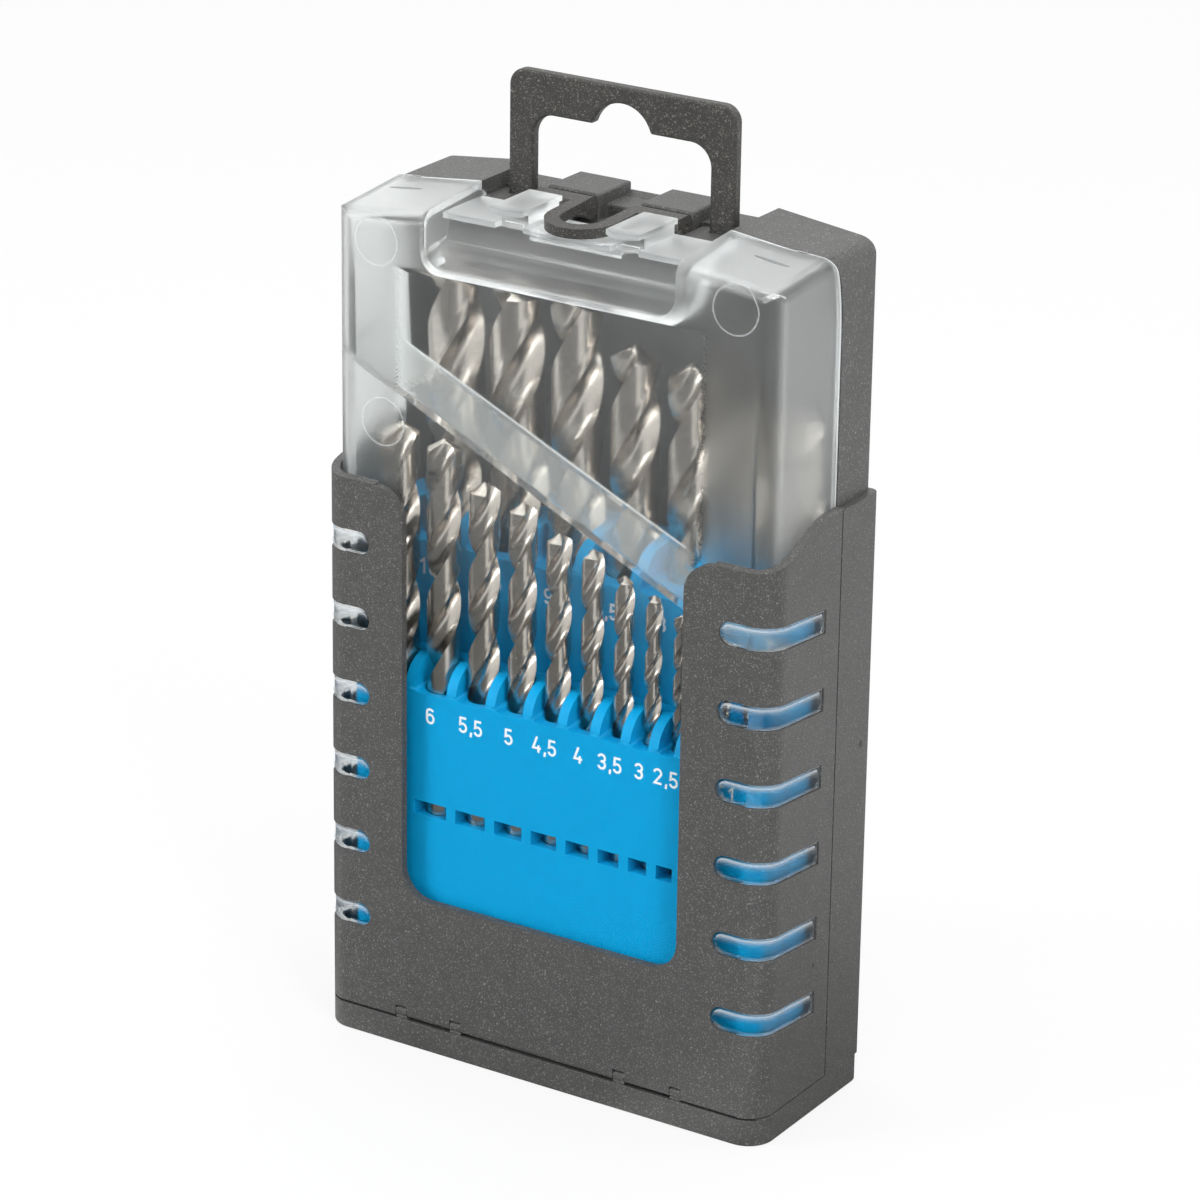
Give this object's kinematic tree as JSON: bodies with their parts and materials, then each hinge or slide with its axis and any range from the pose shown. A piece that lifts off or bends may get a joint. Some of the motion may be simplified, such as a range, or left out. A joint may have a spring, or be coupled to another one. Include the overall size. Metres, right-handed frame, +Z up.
{
  "type": "drill bit case",
  "caption": "Upright plastic case for twist drill bits, with a hinged clear front, tilting racks, a lift-up latch and a sliding hanger.",
  "frame": {"origin": "bottom centre of the closed case, on the surface it stands on", "axes": "+Z up towards the hanger, -Y out of the hinged clear front, +X to the right of a person facing the front"},
  "size_m": [0.0904, 0.0346, 0.1745],
  "materials": {
    "dark_plastic": "fine-grained, dark warm grey",
    "clear_plastic": "clear front, frosted corners and top",
    "blue_plastic": "smooth, bright blue",
    "steel": "bright ground steel"
  },
  "bodies": {
    "case": {"base_tray": "dark_plastic", "rear_shell": "dark_plastic", "hinge_pin": "steel"},
    "lid": {"front_frame": "dark_plastic", "clear_cover": "clear_plastic"},
    "latch": {"latch_flap": "dark_plastic", "latch_pins": "steel"},
    "hanger": {"hanger": "dark_plastic"},
    "front_rack": {"front_rack": "blue_plastic", "bit_06_5": "steel", "bit_06_0": "steel", "bit_05_5": "steel", "bit_05_0": "steel", "bit_04_5": "steel", "bit_04_0": "steel", "bit_03_5": "steel", "bit_03_0": "steel", "bit_02_5": "steel", "bit_02_0": "steel", "bit_01_5": "steel", "bit_01_0": "steel"},
    "rear_rack": {"rear_rack": "blue_plastic", "bit_10_0": "steel", "bit_09_5": "steel", "bit_09_0": "steel", "bit_08_5": "steel", "bit_08_0": "steel", "bit_07_5": "steel", "bit_07_0": "steel"}
  },
  "joints": [
    {"name": "lid_hinge", "type": "hinge", "parent": "case", "child": "lid", "pos_m": [0, -0.0163, 0.0063], "axis": [1, 0, 0], "range_deg": [0, 90]},
    {"name": "latch_hinge", "type": "hinge", "parent": "case", "child": "latch", "pos_m": [0, 0.0039, 0.1534], "axis": [-1, 0, 0], "range_deg": [0, 35]},
    {"name": "hanger_slide", "type": "slide", "parent": "case", "child": "hanger", "axis": [0, 0, 1], "range_m": [-0.0114, 0]},
    {"name": "front_rack_tilt", "type": "hinge", "parent": "case", "child": "front_rack", "pos_m": [0, -0.0097, 0.0072], "axis": [1, 0, 0], "range_deg": [0, 25.5]},
    {"name": "rear_rack_tilt", "type": "hinge", "parent": "case", "child": "rear_rack", "pos_m": [0, 0.0021, 0.01], "axis": [1, 0, 0], "range_deg": [0, 12]}
  ],
  "couplings": [
    {"joint": "front_rack_tilt", "follows": "lid_hinge", "ratio": 0.28},
    {"joint": "rear_rack_tilt", "follows": "lid_hinge", "ratio": 0.13}
  ]
}
